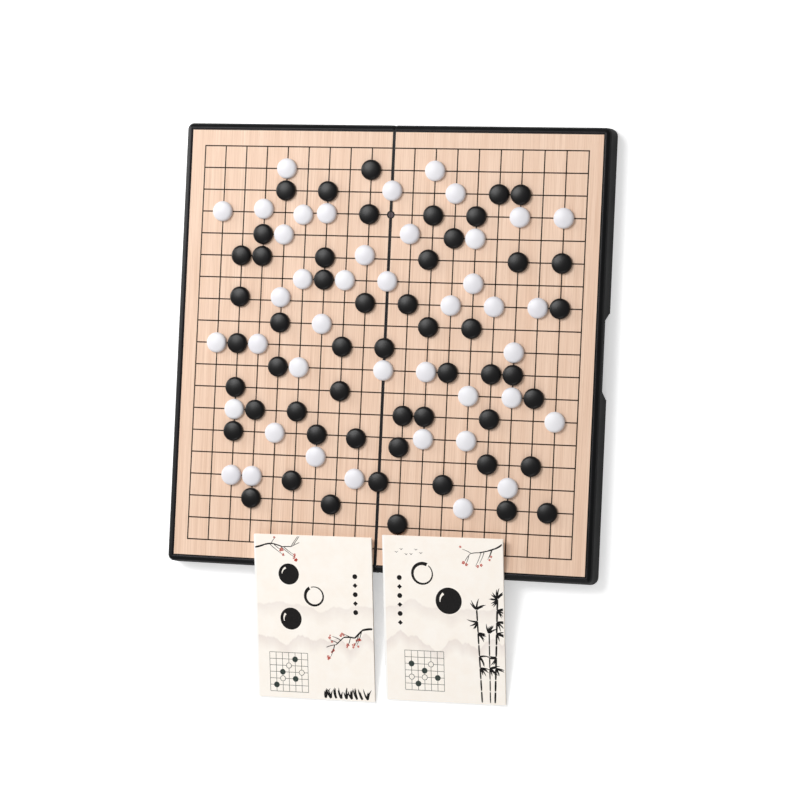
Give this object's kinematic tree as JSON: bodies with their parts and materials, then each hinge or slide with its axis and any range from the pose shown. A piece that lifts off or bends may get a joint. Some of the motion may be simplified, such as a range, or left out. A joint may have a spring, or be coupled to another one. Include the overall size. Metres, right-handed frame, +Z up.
{
  "type": "magnetic go set",
  "caption": "Folding magnetic go board with hinged case halves, steel-backed playing sheets, domed black and white stones and stapled booklets leaning on its front rim.",
  "frame": {"origin": "centre of the footprint of the whole set, at table height", "axes": "+Z up out of the playing face, +Y away from the booklets along the fold, +X towards the right half"},
  "size_m": [0.3706, 0.4832, 0.028],
  "materials": {
    "case_plastic": "fine moulded grain",
    "sheet_steel": "plain rolled",
    "printed_sheet": "wood-grain print, satin",
    "magnet": "plated",
    "pin_steel": "drawn wire",
    "black_stone": "satin",
    "white_stone": "satin",
    "booklet_cover": "uncoated printed paper",
    "booklet_pages": "stacked sheets",
    "staple_steel": "bright wire"
  },
  "bodies": {
    "left_half": {"left_case_shell": "case_plastic", "left_steel_sheet": "sheet_steel", "left_printed_sheet": "printed_sheet", "left_closing_magnets": "magnet", "front_hinge_pin": "pin_steel", "rear_hinge_pin": "pin_steel"},
    "right_half": {"right_case_shell": "case_plastic", "right_steel_sheet": "sheet_steel", "right_printed_sheet": "printed_sheet", "right_closing_magnets": "magnet"},
    "fold_line_stones": {"fold_black_stones": "black_stone", "fold_black_stone_magnets": "magnet", "fold_white_stones": "white_stone", "fold_white_stone_magnets": "magnet"},
    "left_black_stones_set": {"left_black_stones": "black_stone", "left_black_stone_magnets": "magnet"},
    "left_white_stones_set": {"left_white_stones": "white_stone", "left_white_stone_magnets": "magnet"},
    "right_black_stones_set": {"right_black_stones": "black_stone", "right_black_stone_magnets": "magnet"},
    "right_white_stones_set": {"right_white_stones": "white_stone", "right_white_stone_magnets": "magnet"},
    "left_booklet": {"left_booklet_pages": "booklet_pages", "left_booklet_back_cover": "booklet_cover", "left_booklet_staples": "staple_steel"},
    "left_booklet_cover": {"left_booklet_front_cover": "booklet_cover"},
    "right_booklet": {"right_booklet_pages": "booklet_pages", "right_booklet_back_cover": "booklet_cover", "right_booklet_staples": "staple_steel"},
    "right_booklet_cover": {"right_booklet_front_cover": "booklet_cover"}
  },
  "joints": [
    {"name": "fold", "type": "hinge", "parent": "left_half", "child": "right_half", "pos_m": [0, 0.05469, 0.0022], "axis": [0, 1, 0], "range_deg": [0, 180]},
    {"name": "fold_line_stones_lift", "type": "slide", "parent": "left_half", "child": "fold_line_stones", "axis": [0, 0, 1], "range_m": [0, 0.04]},
    {"name": "left_black_stones_lift", "type": "slide", "parent": "left_half", "child": "left_black_stones_set", "axis": [0, 0, 1], "range_m": [0, 0.04]},
    {"name": "left_white_stones_lift", "type": "slide", "parent": "left_half", "child": "left_white_stones_set", "axis": [0, 0, 1], "range_m": [0, 0.04]},
    {"name": "right_black_stones_lift", "type": "slide", "parent": "right_half", "child": "right_black_stones_set", "axis": [0, 0, 1], "range_m": [0, 0.04]},
    {"name": "right_white_stones_lift", "type": "slide", "parent": "right_half", "child": "right_white_stones_set", "axis": [0, 0, 1], "range_m": [0, 0.04]},
    {"name": "left_booklet_lift", "type": "slide", "parent": "left_half", "child": "left_booklet", "axis": [0, -0.1736, 0.9848], "range_m": [0, 0.15]},
    {"name": "left_booklet_cover_hinge", "type": "hinge", "parent": "left_booklet", "child": "left_booklet_cover", "pos_m": [-0.1026, -0.24164, 0.00246], "axis": [0.0175, -0.9847, -0.1736], "range_deg": [0, 150]},
    {"name": "right_booklet_lift", "type": "slide", "parent": "left_half", "child": "right_booklet", "axis": [0, -0.1812, 0.9835], "range_m": [0, 0.15]},
    {"name": "right_booklet_cover_hinge", "type": "hinge", "parent": "right_booklet", "child": "right_booklet_cover", "pos_m": [0.0099, -0.23676, 0.00246], "axis": [0.0175, -0.9833, -0.1811], "range_deg": [0, 150]}
  ]
}
